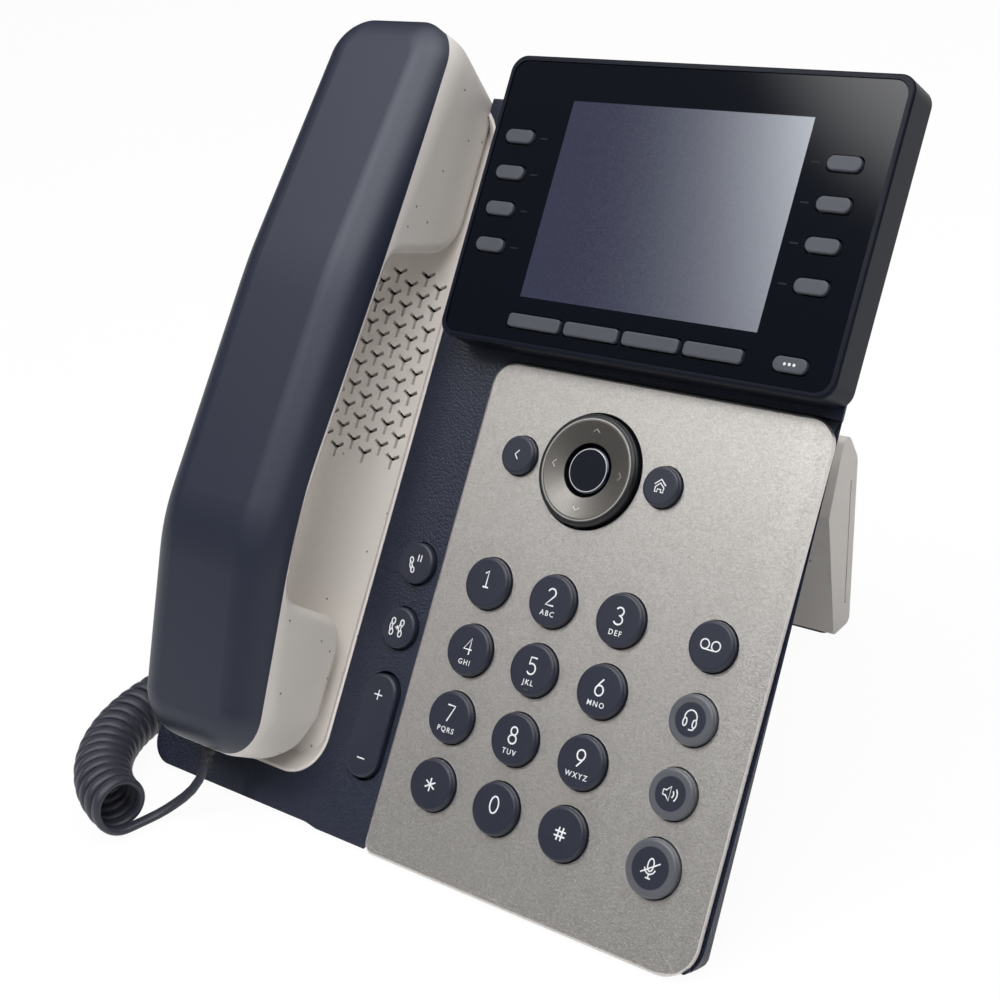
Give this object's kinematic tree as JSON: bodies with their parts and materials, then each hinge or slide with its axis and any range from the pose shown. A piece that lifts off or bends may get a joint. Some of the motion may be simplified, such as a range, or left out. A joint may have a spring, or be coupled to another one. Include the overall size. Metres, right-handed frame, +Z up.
{
  "type": "desk ip phone",
  "caption": "Desk IP telephone with a leaning base, colour display, round keypad, navigation ring, handset in a cradle on a curly cord, and a folding rear stand.",
  "frame": {"origin": "middle of the underside of the phone without its cord, on the desk", "axes": "+X to the right of a person facing the phone, +Y to the back, +Z up"},
  "size_m": [0.2077, 0.2032, 0.1892],
  "materials": {
    "charcoal_shell": "dark blue-charcoal, fine matte",
    "charcoal_case": "dark charcoal, fine grain",
    "warm_grey": "warm light grey, satin",
    "champagne_face": "champagne silver paint, satin",
    "bezel_black": "black, satin",
    "lens_black": "gloss black with a clear window",
    "lcd": "liquid crystal panel, off",
    "key_black": "black, satin",
    "screen_key_grey": "mid grey, satin",
    "select_gloss": "gloss black",
    "nav_metal": "brushed, dished",
    "inner_plastic": "natural moulded",
    "mat_rubber": "silicone grey",
    "foot_rubber": "black, matte",
    "board_green": "circuit board",
    "jack_black": "moulded black",
    "driver_metal": "pressed frame and magnet",
    "capsule": "moulded black",
    "screw_steel": "zinc plated",
    "cord_black": "black, satin jacket",
    "plug_black": "moulded black"
  },
  "bodies": {
    "base": {"front_case": "charcoal_case", "rear_case": "charcoal_case", "faceplate": "champagne_face", "display_bezel": "bezel_black", "display_lens": "lens_black", "lcd_module": "lcd", "cradle": "warm_grey", "main_board": "board_green", "keypad_mat": "mat_rubber", "loudspeaker": "driver_metal", "rear_jacks": "jack_black", "case_screws": "screw_steel", "base_feet": "foot_rubber", "cord_plug": "plug_black", "cord_lead": "cord_black", "cord_coil": "cord_black", "cord_tail": "cord_black"},
    "handset": {"handset_back_shell": "charcoal_shell", "handset_front_shell": "warm_grey", "handset_capsules": "capsule"},
    "hook": {"hook_switch": "inner_plastic"},
    "stand": {"stand": "warm_grey", "stand_feet": "foot_rubber"},
    "nav_gimbal": {"nav_gimbal": "inner_plastic"},
    "nav_ring": {"nav_ring": "nav_metal"},
    "volume": {"volume_rocker": "key_black"},
    "key_1": {"key_1": "key_black"},
    "key_2": {"key_2": "key_black"},
    "key_3": {"key_3": "key_black"},
    "key_4": {"key_4": "key_black"},
    "key_5": {"key_5": "key_black"},
    "key_6": {"key_6": "key_black"},
    "key_7": {"key_7": "key_black"},
    "key_8": {"key_8": "key_black"},
    "key_9": {"key_9": "key_black"},
    "key_star": {"key_star": "key_black"},
    "key_0": {"key_0": "key_black"},
    "key_hash": {"key_hash": "key_black"},
    "key_voicemail": {"key_voicemail": "key_black"},
    "key_headset": {"key_headset": "key_black"},
    "key_speaker": {"key_speaker": "key_black"},
    "key_mute": {"key_mute": "key_black"},
    "key_back": {"key_back": "key_black"},
    "key_home": {"key_home": "key_black"},
    "key_hold": {"key_hold": "key_black"},
    "key_transfer": {"key_transfer": "key_black"},
    "line_key_left_1": {"line_key_left_1": "screen_key_grey"},
    "line_key_left_2": {"line_key_left_2": "screen_key_grey"},
    "line_key_left_3": {"line_key_left_3": "screen_key_grey"},
    "line_key_left_4": {"line_key_left_4": "screen_key_grey"},
    "line_key_right_1": {"line_key_right_1": "screen_key_grey"},
    "line_key_right_2": {"line_key_right_2": "screen_key_grey"},
    "line_key_right_3": {"line_key_right_3": "screen_key_grey"},
    "line_key_right_4": {"line_key_right_4": "screen_key_grey"},
    "soft_key_1": {"soft_key_1": "screen_key_grey"},
    "soft_key_2": {"soft_key_2": "screen_key_grey"},
    "soft_key_3": {"soft_key_3": "screen_key_grey"},
    "soft_key_4": {"soft_key_4": "screen_key_grey"},
    "key_page": {"key_page": "screen_key_grey"},
    "key_select": {"key_select": "select_gloss"}
  },
  "joints": [
    {"name": "press_key_1", "type": "slide", "parent": "base", "child": "key_1", "axis": [0, 0.8141, -0.5807], "range_m": [0, 0.0012], "stiffness_N_per_m": 800},
    {"name": "press_key_2", "type": "slide", "parent": "base", "child": "key_2", "axis": [0, 0.8141, -0.5807], "range_m": [0, 0.0012], "stiffness_N_per_m": 800},
    {"name": "press_key_3", "type": "slide", "parent": "base", "child": "key_3", "axis": [0, 0.8141, -0.5807], "range_m": [0, 0.0012], "stiffness_N_per_m": 800},
    {"name": "press_key_4", "type": "slide", "parent": "base", "child": "key_4", "axis": [0, 0.8141, -0.5807], "range_m": [0, 0.0012], "stiffness_N_per_m": 800},
    {"name": "press_key_5", "type": "slide", "parent": "base", "child": "key_5", "axis": [0, 0.8141, -0.5807], "range_m": [0, 0.0012], "stiffness_N_per_m": 800},
    {"name": "press_key_6", "type": "slide", "parent": "base", "child": "key_6", "axis": [0, 0.8141, -0.5807], "range_m": [0, 0.0012], "stiffness_N_per_m": 800},
    {"name": "press_key_7", "type": "slide", "parent": "base", "child": "key_7", "axis": [0, 0.8141, -0.5807], "range_m": [0, 0.0012], "stiffness_N_per_m": 800},
    {"name": "press_key_8", "type": "slide", "parent": "base", "child": "key_8", "axis": [0, 0.8141, -0.5807], "range_m": [0, 0.0012], "stiffness_N_per_m": 800},
    {"name": "press_key_9", "type": "slide", "parent": "base", "child": "key_9", "axis": [0, 0.8141, -0.5807], "range_m": [0, 0.0012], "stiffness_N_per_m": 800},
    {"name": "press_key_star", "type": "slide", "parent": "base", "child": "key_star", "axis": [0, 0.8141, -0.5807], "range_m": [0, 0.0012], "stiffness_N_per_m": 800},
    {"name": "press_key_0", "type": "slide", "parent": "base", "child": "key_0", "axis": [0, 0.8141, -0.5807], "range_m": [0, 0.0012], "stiffness_N_per_m": 800},
    {"name": "press_key_hash", "type": "slide", "parent": "base", "child": "key_hash", "axis": [0, 0.8141, -0.5807], "range_m": [0, 0.0012], "stiffness_N_per_m": 800},
    {"name": "press_key_voicemail", "type": "slide", "parent": "base", "child": "key_voicemail", "axis": [0, 0.8141, -0.5807], "range_m": [0, 0.0012], "stiffness_N_per_m": 800},
    {"name": "press_key_headset", "type": "slide", "parent": "base", "child": "key_headset", "axis": [0, 0.8141, -0.5807], "range_m": [0, 0.0012], "stiffness_N_per_m": 800},
    {"name": "press_key_speaker", "type": "slide", "parent": "base", "child": "key_speaker", "axis": [0, 0.8141, -0.5807], "range_m": [0, 0.0012], "stiffness_N_per_m": 800},
    {"name": "press_key_mute", "type": "slide", "parent": "base", "child": "key_mute", "axis": [0, 0.8141, -0.5807], "range_m": [0, 0.0012], "stiffness_N_per_m": 800},
    {"name": "press_key_back", "type": "slide", "parent": "base", "child": "key_back", "axis": [0, 0.8141, -0.5807], "range_m": [0, 0.0012], "stiffness_N_per_m": 800},
    {"name": "press_key_home", "type": "slide", "parent": "base", "child": "key_home", "axis": [0, 0.8141, -0.5807], "range_m": [0, 0.0012], "stiffness_N_per_m": 800},
    {"name": "press_key_hold", "type": "slide", "parent": "base", "child": "key_hold", "axis": [0, 0.8141, -0.5807], "range_m": [0, 0.0012], "stiffness_N_per_m": 800},
    {"name": "press_key_transfer", "type": "slide", "parent": "base", "child": "key_transfer", "axis": [0, 0.8141, -0.5807], "range_m": [0, 0.0012], "stiffness_N_per_m": 800},
    {"name": "press_line_key_left_1", "type": "slide", "parent": "base", "child": "line_key_left_1", "axis": [0, 0.8141, -0.5807], "range_m": [0, 0.0008], "stiffness_N_per_m": 1000},
    {"name": "press_line_key_left_2", "type": "slide", "parent": "base", "child": "line_key_left_2", "axis": [0, 0.8141, -0.5807], "range_m": [0, 0.0008], "stiffness_N_per_m": 1000},
    {"name": "press_line_key_left_3", "type": "slide", "parent": "base", "child": "line_key_left_3", "axis": [0, 0.8141, -0.5807], "range_m": [0, 0.0008], "stiffness_N_per_m": 1000},
    {"name": "press_line_key_left_4", "type": "slide", "parent": "base", "child": "line_key_left_4", "axis": [0, 0.8141, -0.5807], "range_m": [0, 0.0008], "stiffness_N_per_m": 1000},
    {"name": "press_line_key_right_1", "type": "slide", "parent": "base", "child": "line_key_right_1", "axis": [0, 0.8141, -0.5807], "range_m": [0, 0.0008], "stiffness_N_per_m": 1000},
    {"name": "press_line_key_right_2", "type": "slide", "parent": "base", "child": "line_key_right_2", "axis": [0, 0.8141, -0.5807], "range_m": [0, 0.0008], "stiffness_N_per_m": 1000},
    {"name": "press_line_key_right_3", "type": "slide", "parent": "base", "child": "line_key_right_3", "axis": [0, 0.8141, -0.5807], "range_m": [0, 0.0008], "stiffness_N_per_m": 1000},
    {"name": "press_line_key_right_4", "type": "slide", "parent": "base", "child": "line_key_right_4", "axis": [0, 0.8141, -0.5807], "range_m": [0, 0.0008], "stiffness_N_per_m": 1000},
    {"name": "press_soft_key_1", "type": "slide", "parent": "base", "child": "soft_key_1", "axis": [0, 0.8141, -0.5807], "range_m": [0, 0.0008], "stiffness_N_per_m": 1000},
    {"name": "press_soft_key_2", "type": "slide", "parent": "base", "child": "soft_key_2", "axis": [0, 0.8141, -0.5807], "range_m": [0, 0.0008], "stiffness_N_per_m": 1000},
    {"name": "press_soft_key_3", "type": "slide", "parent": "base", "child": "soft_key_3", "axis": [0, 0.8141, -0.5807], "range_m": [0, 0.0008], "stiffness_N_per_m": 1000},
    {"name": "press_soft_key_4", "type": "slide", "parent": "base", "child": "soft_key_4", "axis": [0, 0.8141, -0.5807], "range_m": [0, 0.0008], "stiffness_N_per_m": 1000},
    {"name": "press_key_page", "type": "slide", "parent": "base", "child": "key_page", "axis": [0, 0.8141, -0.5807], "range_m": [0, 0.0008], "stiffness_N_per_m": 1000},
    {"name": "press_key_select", "type": "slide", "parent": "base", "child": "key_select", "axis": [0, 0.8141, -0.5807], "range_m": [0, 0.0012], "stiffness_N_per_m": 800},
    {"name": "rock_volume", "type": "hinge", "parent": "base", "child": "volume", "pos_m": [-0.0167, -0.05685, 0.02348], "axis": [1, 0, 0], "range_deg": [-3, 3], "stiffness_Nm_per_rad": 0.25},
    {"name": "tilt_nav_up_down", "type": "hinge", "parent": "base", "child": "nav_gimbal", "pos_m": [0.0291, -0.01051, 0.08639], "axis": [1, 0, 0], "range_deg": [-2.5, 2.5], "stiffness_Nm_per_rad": 0.3},
    {"name": "tilt_nav_left_right", "type": "hinge", "parent": "nav_gimbal", "child": "nav_ring", "pos_m": [0.0291, -0.01385, 0.08877], "axis": [0, 0.5807, 0.8141], "range_deg": [-2.5, 2.5], "stiffness_Nm_per_rad": 0.3},
    {"name": "handset_lift", "type": "slide", "parent": "base", "child": "handset", "axis": [0, -0.8141, 0.5807], "range_m": [0, 0.07], "deforming": ["cord_tail", "cord_coil", "cord_lead"]},
    {"name": "hook_rise", "type": "slide", "parent": "base", "child": "hook", "axis": [0, -0.8141, 0.5807], "range_m": [0, 0.003]},
    {"name": "stand_fold", "type": "hinge", "parent": "base", "child": "stand", "pos_m": [-0.0007, 0.0555, 0.12038], "axis": [1, 0, 0], "range_deg": [-44, 0]}
  ],
  "couplings": [
    {"joint": "hook_rise", "follows": "handset_lift", "ratio": 0.042857}
  ]
}
